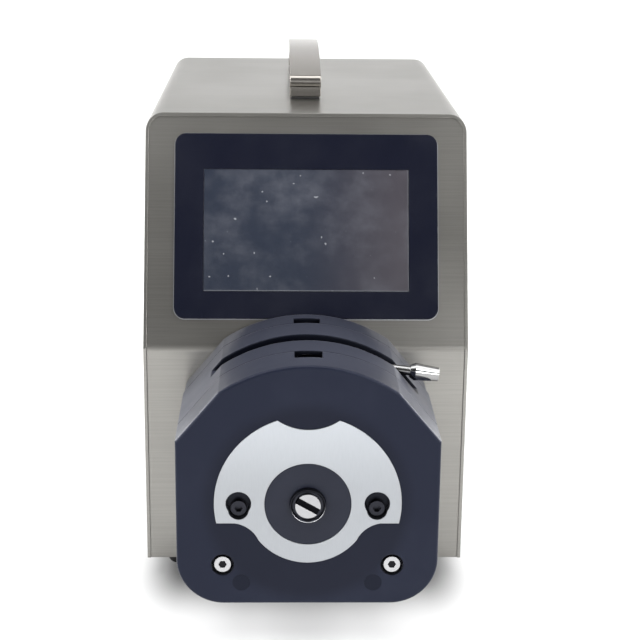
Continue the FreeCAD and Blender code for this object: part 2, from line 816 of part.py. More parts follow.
def make_bed():
    """The rising occlusion bed: arched track below, flush with the plates above."""
    chord = "sqrt(track_radius^2 - bed_low^2)"
    owner = plate("Bed", "rear_plate_front + bed_gap", "front_plate_rear - bed_gap", [outline([
        (chord, high("bed_low")), ("head_half", high("bed_low")), ("head_half", high("facet_low")),
        ("facet_top", SHOULDER, "arch_radius", 1), ("0", high("head_top"), "arch_radius", 1),
        ("-facet_top", SHOULDER), ("-head_half", high("facet_low")),
        ("-head_half", high("bed_low")), ("-(%s)" % chord, high("bed_low"), "track_radius", -1),
        ("0", high("track_radius"), "track_radius", -1),
    ])])
    sink(owner, "lever_slot_front", "lever_slot_front - lever_slot_rear", [slot_loop()])
    pivot = high("lever_pivot")
    pin_top = high("lever_pivot - cam_small")
    pin_low = high("lever_pivot - cam_large - cam_gap - 2*lift_pin_radius - 0.4")
    cam_room = circle("0", pivot, "cam_large + cam_gap")
    pin_room = rectangle("-lift_pin_radius - 0.4", "lift_pin_radius + 0.4", pin_low, pin_top)
    for p1, depth in (("front_plate_rear", "7.5"), ("22", "22 - rear_plate_front")):
        sink(owner, p1, depth, [cam_room])
        sink(owner, p1, depth, [pin_room])
    sink(owner, "front_plate_rear", "front_plate_rear", [
        circle("0", pivot, "lever_shaft_radius + running_gap")])
    node(cut(owner, guide_holes("0", "31", "0.08")), "occlusion_bed")


def cam_loop():
    """A snail cam whose radius grows evenly with angle, so the bed lifts evenly."""
    def draw(item):
        small, large = num("cam_small"), num("cam_large")
        sweep = math.radians(num("cam_turn"))
        height = num("axis_height + lever_pivot")
        points = []
        for index in range(41):
            share = index / 40
            angle = -math.pi / 2 - sweep * share
            radius = small + (large - small) * share
            points.append(FreeCAD.Vector(radius * math.cos(angle),
                                         height + radius * math.sin(angle), 0))
        curve = Part.BSplineCurve()
        curve.interpolate(points)
        edge = item.addGeometry(curve, False)
        item.addGeometry(Part.LineSegment(curve.EndPoint, curve.StartPoint), False)
        item.addConstraint(Sketcher.Constraint("Block", edge))
        item.addConstraint(Sketcher.Constraint("Block", edge + 1))
    return draw


def make_lever():
    pivot = high("lever_pivot")
    cams = [plate("Cam", "48", "53.5", [cam_loop()]), plate("Cam", "14", "21", [cam_loop()])]
    shaft = rod("0", pivot, "lever_shaft_radius", "window_rear + 0.8", "window_front - 0.8")
    hub = rod("0", pivot, "hub_radius", "lever_slot_rear + 0.4", "lever_slot_front - 0.4")
    socket = lever_piece("lever_shaft_radius", "lever_shaft_radius + 0.2", "10")
    node(cut(fuse([shaft, hub] + cams), [socket]), "lever_shaft")
    node(lever_piece("lever_shaft_radius", "lever_shaft_radius + 0.2", "52"), "lever_rod")
    neck = lever_cone("2.7", "3.9", "44.9", "47.1")
    grip = lever_cone("3.9", "3", "47.1", "57.4")
    bore = lever_piece("lever_shaft_radius", "40", "52")
    node(cut(fuse([neck, grip]), [bore]), "lever_grip")


def lever_point(item, distance):
    """Put an item on the lever's line, this far out from the pivot, pointing outwards."""
    turn(item, (0, 1, 0), "90 + lever_drop")
    return place(item, "(%s)*cos(lever_drop)" % distance, ahead("35"),
                 high("lever_pivot - (%s)*sin(lever_drop)" % distance))


def lever_piece(radius, start, end):
    item = doc.addObject("Part::Cylinder", "LeverPiece")
    bind(item, "Radius", radius)
    bind(item, "Height", "(%s) - (%s)" % (end, start))
    return lever_point(item, start)


def lever_cone(radius0, radius1, start, end):
    item = doc.addObject("Part::Cone", "LeverCone")
    bind(item, "Radius1", radius0)
    bind(item, "Radius2", radius1)
    bind(item, "Height", "(%s) - (%s)" % (end, start))
    return lever_point(item, start)


def make_lift_parts():
    height = high("lever_pivot - cam_small - cam_gap - lift_pin_radius")
    pins = [rod("0", height, "lift_pin_radius", "47.3", "window_front + 6"),
            rod("0", height, "lift_pin_radius", "1.5", "21.5")]
    node(group(pins), "lift_pins")
    blocks = []
    for p0, p1 in (("front_plate_rear - bed_gap", "window_front - 0.3"),
                   ("window_rear + 0.3", "rear_plate_front + bed_gap")):
        shape = block("-window_half + 0.25", "window_half - 0.25", p0, p1,
                      high("lever_pivot - 2.55"), high("lever_pivot + 4.6"))
        blocks.append(cut(shape, [rod("0", high("lever_pivot"),
                                      "lever_shaft_radius + running_gap", "0", "70")]))
    node(group(blocks), "guide_blocks")


def plate_shape():
    """The nameplate's outline: a broad arc notched at the top, necked in to a smaller arc."""
    ear = "sqrt(plate_radius^2 - 8.6^2)"
    notch = "sqrt(plate_radius^2 - 12.8^2)"
    return outline([
        ("-(%s)" % ear, high("-8.6")), ("-30.5", high("-8.6"), "13", -1),
        ("-20.6", high("-16.3"), "26.3", 1), ("0", high("-26.5"), "26.3", 1),
        ("20.6", high("-16.3"), "13", -1), ("30.5", high("-8.6")),
        (ear, high("-8.6"), "plate_radius", 1), ("12.8", high(notch), "22.2", -1),
        ("-12.8", high(notch), "plate_radius", 1),
    ])


def make_nameplate():
    owner = plate("FacePlate", "head_front", "head_front + 0.5", [
        plate_shape(), circle("0", "axis_height", "disc_radius")])
    for side in ("-", ""):
        x = side + "clamp_side"
        sink(owner, "head_front + 0.5", "0.5", [circle(x, high("0.2"), "5.35")])
        sink(owner, "head_front + 0.5", "0.5", [circle(x, high("-2.7"), "4.3")])
    node(owner, "nameplate")
    disc = plate("Disc", "head_front - 0.8", "head_front + 0.35", [
        circle("0", "axis_height", "disc_radius - 0.15"), circle("0", "axis_height", "7.5")])
    node(disc, "centre_disc")


def make_rotor():
    axis = "axis_height"
    shaft = rod("0", axis, "rotor_shaft", "1", "head_front + 2.8")
    slot = doc.addObject("Part::Box", "DriverSlot")
    bind(slot, "Length", "14")
    bind(slot, "Width", "5.2")
    bind(slot, "Height", "driver_slot")
    turn(slot, (0, 1, 0), 30)
    place(slot, "-7*cos(30) - driver_slot/2*sin(30)", ahead("head_front + 4"),
          "axis_height + 7*sin(30) - driver_slot/2*cos(30)")
    hub = rod("0", axis, "10", "17", "50.6")
    node(cut(fuse([shaft, hub]), [slot]), "rotor_shaft")
    discs = []
    for p0, p1 in (("17", "20"), ("47.6", "50.6")):
        tools = [rod("0", axis, "10", "10", "60")]
        for x, z in roller_places():
            tools.append(rod(x, z, "roller_pin", "10", "60"))
        discs.append(cut(rod("0", axis, "carrier_radius", p0, p1), tools))
    pins = [rod(x, z, "roller_pin", "16.6", "51") for x, z in roller_places()]
    node(group(discs + pins), "roller_cage")
    for index, (x, z) in enumerate(roller_places(), 1):
        roll = rod(x, z, "roller_radius", "20.4", "47.2")
        bore = rod(x, z, "roller_pin + running_gap", "10", "60")
        node(cut(roll, [bore]), "roller_%d" % index)


def roller_places():
    places = []
    for index in range(int(num("roller_count"))):
        angle = "(%d*360/roller_count + 45)" % index
        places.append(("roller_pitch*cos(%s)" % angle, high("roller_pitch*sin(%s)" % angle)))
    return places


def make_bushing():
    """The collar round the shaft's front end, its mouth countersunk to a thin bright lip."""
    ring = rod("0", "axis_height", "7.4", "front_plate_rear + 1", "head_front + 3")
    bore = rod("0", "axis_height", "rotor_shaft + running_gap", "40", "90")
    recess = rod("0", "axis_height", "6.5", "head_front + 1.4", "head_front + 4")
    mouth = cone("0", "axis_height", "6.5", "7.3", "head_front + 2.2", "head_front + 3.1")
    node(cut(ring, [bore, recess, mouth]), "front_bushing")


def make_head_screws():
    screws = [socket_screw(side + "lower_screw_side", high("lower_screw_height"), "3.5", "2",
                           "head_front - 4.6", "head_front - 0.5", "-7.5") for side in ("-", "")]
    node(group(screws), "head_screws")


# ---------------------------------------------------------------- drive

def motor_bolts():
    return [(sx + "motor_bolt", high(sz + "motor_bolt")) for sx in ("-", "") for sz in ("-", "")]


def make_mount():
    axis = "axis_height"
    base = block("-42", "42", "-7.5", "-sheet", high("-40"), high("40"))
    tools = [rod("0", axis, "9.2", "-10", "5")]
    for x, z in motor_bolts():
        tools.append(rod(x, z, "2.5", "-10", "5"))
    for side in ("-", ""):
        tools.append(rod(side + "lower_screw_side", high("lower_screw_height"), "2", "-10", "5"))
    node(cut(base, tools), "motor_mount")


def motor_loop(cut_off):
    half = "motor_half"
    inner = "motor_half - %s" % cut_off
    return outline([
        ("-(%s)" % inner, high("-" + half)), (inner, high("-" + half)),
        (half, high("-(%s)" % inner)), (half, high(inner)), (inner, high(half)),
        ("-(%s)" % inner, high(half)), ("-" + half, high(inner)), ("-" + half, high("-(%s)" % inner)),
    ])


def make_motor():
    axis = "axis_height"
    front = plate("MotorFlange", "-17.5", "-7.5", [motor_loop("3"), circle("0", axis, "11.1")])
    bolt_holes = [rod(x, z, "2.5", "-20", "0") for x, z in motor_bolts()]
    node(cut(front, bolt_holes), "motor_flange")
    node(plate("MotorStack", "-66", "-17.5", [motor_loop("15"), circle("0", axis, "15.5")]),
         "motor_stack")
    rear = plate("MotorCap", "-76", "-66", [motor_loop("15"), circle("0", axis, "11.1")])
    closing = rod("0", axis, "11.2", "-78", "-76")
    node(fuse([rear, closing]), "motor_rear_cap")
    rings = []
    for p0, p1 in (("-16.5", "-9.5"), ("-75", "-68")):
        ring = rod("0", axis, "11.1", p0, p1)
        rings.append(cut(ring, [rod("0", axis, "motor_shaft + running_gap", "-90", "0")]))
    head_ring = rod("0", axis, "9.5", "6.5", "12.5")
    rings.append(cut(head_ring, [rod("0", axis, "rotor_shaft + running_gap", "0", "20")]))
    node(group(rings), "shaft_bearings")
    shaft = rod("0", axis, "motor_shaft", "-75.5", "0.5")
    core = rod("0", axis, "15", "-64", "-19.5")
    node(fuse([shaft, core]), "motor_rotor")
    bolts = []
    for x, z in motor_bolts():
        head = rod(x, z, "4", "-21.5", "-17.5")
        bolts.append(cut(fuse([head, rod(x, z, "2.4", "-18", "-2")]),
                         [hexagon(x, z, "2.2", "-23", "-19")]))
    node(group(bolts), "motor_bolts")
    sleeve = cut(rod("0", axis, "8", "-5.5", "6"), [
        rod("0", axis, "motor_shaft", "-10", "0.6"), rod("0", axis, "rotor_shaft", "0.6", "10")])
    node(sleeve, "shaft_coupling")


# ---------------------------------------------------------------- electronics

def make_power_supply():
    board = block("8", "66", "-212", "-104", "case_floor + 10", "case_floor + 11.6")
    lumps = [
        block("30", "54", "-168", "-142", "case_floor + 11.4", "case_floor + 34"),
        block("12", "18", "-180", "-130", "case_floor + 11.4", "case_floor + 32"),
        post("44", "-190", "11", "case_floor + 11.4", "case_floor + 38"),
        post("24", "-118", "7", "case_floor + 11.4", "case_floor + 30"),
        post("42", "-118", "7", "case_floor + 11.4", "case_floor + 30"),
        block("18", "40", "-210", "-203", "case_floor + 11.4", "case_floor + 22"),
    ]
    node(fuse([board] + lumps), "power_supply")


def make_control_board():
    board = block("-66", "-8", "-212", "-104", "case_floor + 10", "case_floor + 11.6")
    lumps = [
        block("-44", "-28", "-166", "-150", "case_floor + 11.4", "case_floor + 13.4"),
        block("-62", "-54", "-190", "-130", "case_floor + 11.4", "case_floor + 21"),
        block("-24", "-14", "-190", "-150", "case_floor + 11.4", "case_floor + 18"),
        block("-50", "-22", "-128", "-112", "case_floor + 11.4", "case_floor + 28"),
        post("-20", "-134", "5", "case_floor + 11.4", "case_floor + 24"),
    ]
    node(fuse([board] + lumps), "control_board")


def make_board_posts():
    posts = []
    for low, far in (("12", "62"), ("-62", "-12")):
        for x in (low, far):
            for p in ("-208", "-108"):
                posts.append(post(x, p, "3", "case_floor + 2", "case_floor + 10"))
    node(group(posts + board_posts), "board_posts")


# ---------------------------------------------------------------- rear panel

def make_rear_panel():
    fan_x, fan_z = "fan_side", "fan_height"
    side = "fitting_side"
    roof = "case_roof - sheet - wall_gap"
    bend = "(case_corner - sheet - wall_gap)"
    loops = [
        outline([
            ("-(%s)" % FITTED, "case_floor"), (FITTED, "case_floor"),
            (FITTED, roof + " - " + bend, bend, 1), (FITTED + " - " + bend, roof),
            ("-(%s) + %s" % (FITTED, bend), roof, bend, 1),
            ("-(%s)" % FITTED, roof + " - " + bend),
        ]),
        circle(fan_x, fan_z, "27.5"),
        rectangle(side + " - 13.7", side + " + 13.7", "inlet_height - 10.1", "inlet_height + 10.1"),
        rectangle(side + " - 9.7", side + " + 9.7", "switch_height - 6.8", "switch_height + 6.8"),
        circle(side, "fuse_height", "6.3"),
        circle("earth_side", "earth_height", "2.1"),
        rectangle("-%s - 12.7" % side, "-%s + 12.7" % side, "port_height - 4.8", "port_height + 4.8"),
        rectangle("-%s - 9" % side, "-%s + 9" % side, "port_two_height - 4.8",
                  "port_two_height + 4.8"),
    ]
    for x, z in fan_corners():
        loops.append(circle(x, z, "2"))
    for x in (side + " - 20", side + " + 20"):
        loops.append(circle(x, "inlet_height", "1.6"))
    node(plate("RearSheet", "-case_depth", REAR_IN, loops), "rear_panel")


def fan_corners():
    return [("fan_side %s 25" % sx, "fan_height %s 25" % sz) for sx in "+-" for sz in "+-"]


def make_fan():
    x, z = "fan_side", "fan_height"
    front, rear = "-226.5", "-241.5"
    frame = plate("FanFrame", rear, front, [
        rectangle(x + " - 30", x + " + 30", z + " - 30", z + " + 30", "4"), circle(x, z, "28.6")])
    hub = rod(x, z, "12", "-229", front)
    spokes = []
    for index in range(3):
        spoke = doc.addObject("Part::Box", "Spoke")
        bind(spoke, "Length", "29")
        bind(spoke, "Width", "2.2")
        bind(spoke, "Height", "3")
        turn(spoke, (0, 1, 0), "%d" % (120 * index + 30))
        spokes.append(place(spoke, x, ahead("-226.8"), z))
    boss = rod(x, z, "3", "-238", "-228")
    holes = [rod(cx, cz, "2.1", "-250", "-220") for cx, cz in fan_corners()]
    node(cut(fuse([frame, hub, boss] + spokes), holes), "fan_frame")
    bowl = cut(rod(x, z, "12", "-240.3", "-229.6"), [rod(x, z, "3.06", "-238.3", "-220")])
    blades = []
    for index in range(7):
        blades.append(fan_blade(index))
    node(fuse([bowl] + blades), "fan_rotor")
    wires = [fan_ring(radius) for radius in ("9", "17", "25.5")]
    for angle in (45, 135):
        wires.append(guard_wire(angle))
    tabs = [rod(cx, cz, "3.6", "-244.2", "-243") for cx, cz in fan_corners()]
    seats = [rod(cx, cz, "1.8", "-250", "-240") for cx, cz in fan_corners()]
    seats += [rod(cx, cz, "3.4", "-250", "-244.2") for cx, cz in fan_corners()]
    node(cut(fuse(wires + tabs), seats), "fan_guard")
    for cx, cz in fan_corners():
        rear_screws.append(rear_screw(cx, cz, "3.2", "1.75", "-244.2", "1.8", "20"))


def fan_blade(index):
    """A pitched blade standing out of the fan's hub."""
    item = doc.addObject("Part::Box", "Blade")
    bind(item, "Length", "15.5")
    bind(item, "Width", "1.2")
    bind(item, "Height", "10.5")
    angle = index * 360.0 / 7
    lean = FreeCAD.Rotation(FreeCAD.Vector(1, 0, 0), 48)
    spin = FreeCAD.Rotation(FreeCAD.Vector(0, 1, 0), angle)
    reach = spin.multVec(FreeCAD.Vector(11, 0, 0))
    offset = spin.multiply(lean).multVec(FreeCAD.Vector(0, -0.6, -5.25))
    item.Placement = FreeCAD.Placement(FreeCAD.Vector(0, 0, 0), spin.multiply(lean))
    return place(item, "fan_side + %.4f" % (reach.x + offset.x), ahead("-235 - %.4f" % offset.y),
                 "fan_height + %.4f" % (reach.z + offset.z))


def fan_ring(radius):
    item = doc.addObject("Part::Torus", "GuardRing")
    bind(item, "Radius1", radius)
    bind(item, "Radius2", "0.75")
    turn(item, (1, 0, 0), 90)
    return place(item, "fan_side", ahead("-243.9"), "fan_height")


def guard_wire(angle):
    item = doc.addObject("Part::Cylinder", "GuardWire")
    bind(item, "Radius", "0.75")
    bind(item, "Height", "70.6")
    turn(item, (0, 1, 0), "%d" % angle)
    return place(item, "fan_side - 35.3*sin(%d)" % angle, ahead("-244"),
                 "fan_height - 35.3*cos(%d)" % angle)


def make_inlet():
    x, z = "fitting_side", "inlet_height"
    flange = plate("InletFlange", "-245.5", "-case_depth", [
        rectangle(x + " - 25", x + " + 25", z + " - 11.2", z + " + 11.2", "4")])
    rear = block(x + " - 13.5", x + " + 13.5", "-244", "-226", z + " - 9.9", z + " + 9.9")
    cavity = plate("InletCavity", "-247", "-229", [outline([
        (x + " - 12", z + " - 8"), (x + " + 12", z + " - 8"), (x + " + 12", z + " + 3.5"),
        (x + " + 7.5", z + " + 8"), (x + " - 7.5", z + " + 8"), (x + " - 12", z + " + 3.5"),
    ])])
    holes = [rod(x + " - 20", z, "1.6", "-250", "-240"), rod(x + " + 20", z, "1.6", "-250", "-240")]
    node(cut(fuse([flange, rear]), [cavity] + holes), "mains_inlet")
    blades = []
    for dx, dz in (("- 7", "- 1.5"), ("+ 7", "- 1.5"), ("+ 0", "+ 2.5")):
        blades.append(block("%s %s - 1" % (x, dx), "%s %s + 1" % (x, dx), "-243", "-222",
                            "%s %s - 2" % (z, dz), "%s %s + 2" % (z, dz)))
    node(group(blades), "inlet_pins")
    for dx in (" - 20", " + 20"):
        rear_screws.append(rear_screw(x + dx, z, "2.9", "1.45", "-245.5", "1.7", "9"))
    node(group(rear_screws), "rear_screws")


def make_switch():
    x, z = "fitting_side", "switch_height"
    rim = block(x + " - 11", x + " + 11", "-245", "-case_depth", z + " - 8", z + " + 8")
    shell = block(x + " - 9.5", x + " + 9.5", "-244", "-224", z + " - 6.6", z + " + 6.6")
    room = block(x + " - 8.3", x + " + 8.3", "-250", "-236", z + " - 5.5", z + " + 5.5")
    axle = cross_rod(x + " - 8.8", x + " + 8.8", "-241", z, "1.3")
    node(cut(fuse([rim, shell]), [room, axle]), "switch_housing")
    rocker = body("Rocker")
    pad(rocker, "YZ_Plane", "-8", "16", [outline([
        ("-2", "-4.2"), ("5.4", "-4.4"), ("3.6", "0"), ("5.4", "4.4"), ("-2", "4.2"),
    ])])
    turn(rocker, (1, 0, 0), "9")
    place(rocker, x, ahead("-241"), z)
    shaft = cross_rod(x + " - 8.7", x + " + 8.7", "-241", z, "1.25")
    node(fuse([rocker, shaft]), "switch_rocker")


def make_fuse():
    x, z = "fitting_side", "fuse_height"
    shell = fuse([rod(x, z, "8.5", "-245", "-case_depth"), rod(x, z, "6.2", "-244", "-212")])
    node(cut(shell, [rod(x, z, "4.8", "-250", "-216")]), "fuse_holder")
    cap = fuse([rod(x, z, "4.72", "-246", "-222"), rod(x, z, "7", "-250.5", "-245.4")])
    grip = block(x + " - 0.7", x + " + 0.7", "-252", "-249.7", z + " - 5", z + " + 5")
    node(cut(cap, [grip]), "fuse_cap")


def make_ports():
    shells = []
    pins = []
    for half, height in (("12.4", "port_height"), ("8.7", "port_two_height")):
        x, z = "-fitting_side", height
        flange = block("%s - %s - 7" % (x, half), "%s + %s + 7" % (x, half), "-244.1", "-case_depth",
                       z + " - 6.2", z + " + 6.2")
        barrel = block("%s - %s" % (x, half), "%s + %s" % (x, half), "-249", "-234",
                       z + " - 4.5", z + " + 4.5")
        room = block("%s - %s + 0.9" % (x, half), "%s + %s - 0.9" % (x, half), "-250", "-243.5",
                     z + " - 3.7", z + " + 3.7")
        shells.append(cut(fuse([flange, barrel]), [room]))
        for dx in (" - %s - 4" % half, " + %s + 4" % half):
            pins.append(cut(hexagon(x + dx, z, "2.8", "-248.6", "-244.1"),
                            [rod(x + dx, z, "1.25", "-252", "-245")]))
    node(group(shells + pins), "signal_ports")


def make_earth_stud():
    x, z = "earth_side", "earth_height"
    stud = rod(x, z, "2", "-255", "-234")
    nuts = [hexagon(x, z, "4", "-248", "-244.2"), rod(x, z, "4.4", "-244.2", "-case_depth"),
            hexagon(x, z, "4", REAR_IN, "-238.2")]
    node(fuse([stud] + nuts), "earth_stud")


# ---------------------------------------------------------------- assembly

STEPS = (
    make_cover, make_front_panel, make_base, make_case_screws, make_feet, make_handle, make_screen,
    make_rear_plate, make_front_plate, make_lower_frame, make_tube_clamps, make_bed, make_lever,
    make_lift_parts, make_nameplate, make_rotor, make_bushing, make_head_screws, make_mount,
    make_motor, make_power_supply, make_control_board, make_board_posts, make_rear_panel, make_fan,
    make_inlet, make_switch, make_fuse, make_ports, make_earth_stud,
)


def check():
    for item in doc.Objects:
        if "Invalid" in item.State or "Error" in item.State:
            raise RuntimeError("%s (%s) did not compute: %s" % (item.Name, item.Label, item.State))
    for item in nodes:
        if item.Shape.isNull() or not item.Shape.isValid() or not item.Shape.Solids:
            raise RuntimeError("%s has no valid solid" % item.Label)


def export():
    os.makedirs("parts", exist_ok=True)
    for item in nodes:
        item.Shape.exportStep("parts/%s.step" % item.Label)


fill_sheet()
for step in STEPS:
    step()
doc.recompute()
check()
export()
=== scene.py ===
"""Looks for the bench-top peristaltic pump: materials, small trim, studio and camera."""
import json
import math

import bpy
from mathutils import Matrix, Vector


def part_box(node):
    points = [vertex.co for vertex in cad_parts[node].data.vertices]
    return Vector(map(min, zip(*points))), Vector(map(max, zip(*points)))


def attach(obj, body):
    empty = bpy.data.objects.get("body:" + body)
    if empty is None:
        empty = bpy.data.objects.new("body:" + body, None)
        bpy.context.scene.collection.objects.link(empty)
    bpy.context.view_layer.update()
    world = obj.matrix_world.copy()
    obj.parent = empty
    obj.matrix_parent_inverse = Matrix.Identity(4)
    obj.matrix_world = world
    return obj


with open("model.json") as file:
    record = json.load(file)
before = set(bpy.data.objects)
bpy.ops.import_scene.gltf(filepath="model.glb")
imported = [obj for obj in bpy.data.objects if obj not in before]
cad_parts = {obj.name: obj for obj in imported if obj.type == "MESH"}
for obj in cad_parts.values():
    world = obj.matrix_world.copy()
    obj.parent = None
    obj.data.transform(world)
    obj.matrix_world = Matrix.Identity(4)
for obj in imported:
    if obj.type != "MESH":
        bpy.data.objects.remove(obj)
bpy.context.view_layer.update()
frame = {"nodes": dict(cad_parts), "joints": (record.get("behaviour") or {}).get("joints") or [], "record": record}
nodes = frame["nodes"]
joints = {joint["name"]: joint for joint in frame["joints"]}

# ---------------------------------------------------------------- sizes and places, in metres

AXIS_HEIGHT = joints["rotor_spin"]["pos_m"][2]
SHAFT_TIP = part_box("rotor_shaft")[0].y
COLLAR_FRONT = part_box("front_bushing")[0].y
HEAD_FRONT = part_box("head_front_plate")[0].y
LOWER_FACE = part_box("front_panel")[0].y

# The sloping face, which starts at the bend above the pump head.
TILT = math.radians(-21.5)
BEND = Vector((0, LOWER_FACE, 0.1125))
UP = Vector((0, -math.sin(TILT), math.cos(TILT)))
OUT = Vector((0, -math.cos(TILT), -math.sin(TILT)))
LEAN = Matrix.Rotation(TILT, 4, "X")

# The visible display, measured up the slope from the bend and out from the sheet.
SCREEN_WIDTH = 0.0936
SCREEN_LOW = 0.0263
SCREEN_HIGH = 0.0823
SCREEN_OUT = 0.0015

# The pale rim, a painted highlight of the bezel's rounded edge, whose inner edge lies just under the screen's
# cover.
RIM_HALF = 0.06022
RIM_LOW = 0.01353
RIM_HIGH = 0.09897
RIM_CORNER = 0.005
RIM_WIDTH = 0.0004
RIM_OUT = 0.00008
CORNER_STEPS = 8

# The end of the rotor's shaft: a dark slab painted as shade in its driver slot, and a painted highlight along the
# lower part of the collar's edge round it.
SLOT_ANGLE = math.radians(30)
PAINTED_SLOT_SHADE_SIZE = (0.0101, 0.0035, 0.00274)
SLOT_DEPTH = 0.0004
HIGHLIGHT_RADIUS = 0.00718
HIGHLIGHT_THICK = 0.0002
HIGHLIGHT_BACK = 0.00022

# The two lower head screws' sockets, with dark plugs painted as shade in them, and the sink marks below them.
SOCKET_PLACE = (0.0358, HEAD_FRONT + 0.0011, 0.0405)
SOCKET_RADIUS = 0.00172
SOCKET_DEPTH = 0.0006
SINK_PLACE = (0.02789, HEAD_FRONT + 0.00009, 0.0324)
SINK_RADIUS = 0.0036
SINK_DEPTH = 0.00006

# Painted shadow on the table where the object stands.
PAINTED_SHADOW_REACH = 0.056
PAINTED_SHADOW_LIGHT = 0.12

# Roughness where a satin look turns mirror-like; a finish stays clear of it on its own side.
MIRROR_LIMIT = 0.275
SATIN_FROM = 0.285
MIRROR_TO = 0.268


# ---------------------------------------------------------------- material helpers

def eased(tree, value, low, high, to_low, to_high):
    """A number that eases from to_low to to_high while the value goes from low to high."""
    node = tree.nodes.new("ShaderNodeMapRange")
    node.interpolation_type = "SMOOTHSTEP"
    for socket, number in (("From Min", low), ("From Max", high), ("To Min", to_low), ("To Max", to_high)):
        node.inputs[socket].default_value = number
    tree.links.new(value, node.inputs["Value"])
    return node.outputs["Result"]


class Shader:
    """A material under construction: a Principled surface and short calls that add nodes."""

    def __init__(self, name, color, roughness, metallic=0.0, **extra):
        """Extra settings are the surface's own sockets, with _ for each space in a socket's name."""
        self.material = bpy.data.materials.new(name)
        self.material.use_nodes = True
        self.tree = self.material.node_tree
        self.surface = self.tree.nodes["Principled BSDF"]
        self.set("Base Color", (*color, 1.0))
        self.set("Roughness", roughness)
        self.set("Metallic", metallic)
        for socket, value in extra.items():
            self.set(socket.replace("_", " "), value)
        self.color = color
        self.normal = None
        self.coords = self.add("ShaderNodeTexCoord").outputs["Object"]

    def set(self, socket, value):
        self.surface.inputs[socket].default_value = value

    def add(self, kind, **settings):
        node = self.tree.nodes.new(kind)
        for key, value in settings.items():
            setattr(node, key, value)
        return node

    def link(self, source, target):
        self.tree.links.new(source, target)

    def along(self, axis):
        """The place of a spot along the object's own X, Y or Z."""
        node = self.add("ShaderNodeSeparateXYZ")
        self.link(self.coords, node.inputs["Vector"])
        return node.outputs[axis]

    def stretched(self, scale):
        node = self.add("ShaderNodeMapping")
        node.inputs["Scale"].default_value = scale
        self.link(self.coords, node.inputs["Vector"])
        return node.outputs["Vector"]

    def noise(self, scale, detail=3.0, rough=0.5, where=None):
        node = self.add("ShaderNodeTexNoise")
        node.inputs["Scale"].default_value = scale
        node.inputs["Detail"].default_value = detail
        node.inputs["Roughness"].default_value = rough
        self.link(where or self.coords, node.inputs["Vector"])
        return node.outputs["Fac"]

    def remap(self, value, low, high, to_low=0.0, to_high=1.0):
        return eased(self.tree, value, low, high, to_low, to_high)

    def blend_color(self, factor, other, base=None):
        """Mix the surface colour, or an earlier mix, towards another colour by a factor."""
        node = self.add("ShaderNodeMix", data_type="RGBA")
        self.link(factor, node.inputs["Factor"])
        if base is None:
            node.inputs["A"].default_value = (*self.color, 1.0)
        else:
            self.link(base, node.inputs["A"])
        node.inputs["B"].default_value = (*other, 1.0)
        return node.outputs["Result"]

    def paint(self, result):
        self.link(result, self.surface.inputs["Base Color"])

    def gloss(self, result):
        self.link(result, self.surface.inputs["Roughness"])

    def bump(self, height, strength, distance):
        node = self.add("ShaderNodeBump")
        node.inputs["Strength"].default_value = strength
        node.inputs["Distance"].default_value = distance
        self.link(height, node.inputs["Height"])
        if self.normal is not None:
            self.link(self.normal, node.inputs["Normal"])
        self.normal = node.outputs["Normal"]
        self.link(self.normal, self.surface.inputs["Normal"])

    def soft_edges(self, radius):
        """Round the look of sharp corners; called before any bump."""
        node = self.add("ShaderNodeBevel", samples=6)
        node.inputs["Radius"].default_value = radius
        self.normal = node.outputs["Normal"]
        self.link(self.normal, self.surface.inputs["Normal"])


def gloss_range(roughness, down, up):
    """Low and high roughness that both stay on one side of the mirror limit."""
    if roughness > MIRROR_LIMIT:
        return max(SATIN_FROM, roughness - down), roughness + up
    return roughness - down, min(MIRROR_TO, roughness + up)


def toned(color, share, lift=0.0):
    """A darker or paler version of a colour."""
    return tuple(channel * share + lift for channel in color)


# ---------------------------------------------------------------- materials

def sheet_metal(name, color, roughness, scale, edge=0.0004):
    """Brushed sheet: very fine grain along one way, cloudy tone and rubbed patches."""
    look = Shader(name, color, roughness, 1.0)
    look.soft_edges(edge)
    grain = look.noise(1.0, 2.0, 0.5, look.stretched(scale))
    cloud = look.noise(9.0, 3.0, 0.55)
    tone = look.blend_color(look.remap(grain, 0.3, 0.7, 0.0, 0.3), toned(color, 0.72))
    look.paint(look.blend_color(look.remap(cloud, 0.35, 0.75, 0.0, 0.5), toned(color, 0.82), tone))
    look.gloss(look.remap(cloud, 0.3, 0.7, *gloss_range(roughness, 0.02, 0.05)))
    look.bump(grain, 0.05, 0.00002)
    return look.material


def plastic(name, color, roughness, strength=0.25, **extra):
    """Moulded plastic: fine pebble, soft flow marks, slightly paler rubbed patches."""
    look = Shader(name, color, roughness, **extra)
    look.soft_edges(0.0005)
    pebble = look.noise(1400.0, 2.0, 0.6)
    cloud = look.noise(22.0, 4.0, 0.6)
    look.paint(look.blend_color(look.remap(cloud, 0.42, 0.72, 0.0, 0.5), toned(color, 1.35, 0.006)))
    look.gloss(look.remap(cloud, 0.3, 0.7, *gloss_range(roughness, 0.05, 0.07)))
    look.bump(pebble, strength, 0.00004)
    return look.material


def turned_metal(name, color, roughness, scale=(500, 60, 500)):
    """Turned or ground metal: tight machining lines and a light haze."""
    look = Shader(name, color, roughness, 1.0)
    look.soft_edges(0.00015)
    lines = look.noise(1.0, 3.0, 0.6, look.stretched(scale))
    haze = look.noise(60.0, 3.0, 0.5)
    look.paint(look.blend_color(look.remap(haze, 0.45, 0.8, 0.0, 0.3), toned(color, 0.75)))
    look.gloss(look.remap(haze, 0.3, 0.7, *gloss_range(roughness, 0.03, 0.05)))
    look.bump(lines, 0.06, 0.00002)
    return look.material


def polished_metal(name, color, roughness):
    """Mirror-like plating with only a faint haze."""
    look = Shader(name, color, roughness, 1.0)
    look.soft_edges(0.00015)
    haze = look.noise(60.0, 3.0, 0.5)
    look.paint(look.blend_color(look.remap(haze, 0.45, 0.8, 0.0, 0.3), toned(color, 0.75)))
    look.gloss(look.remap(haze, 0.3, 0.7, roughness - 0.02, roughness + 0.03))
    return look.material


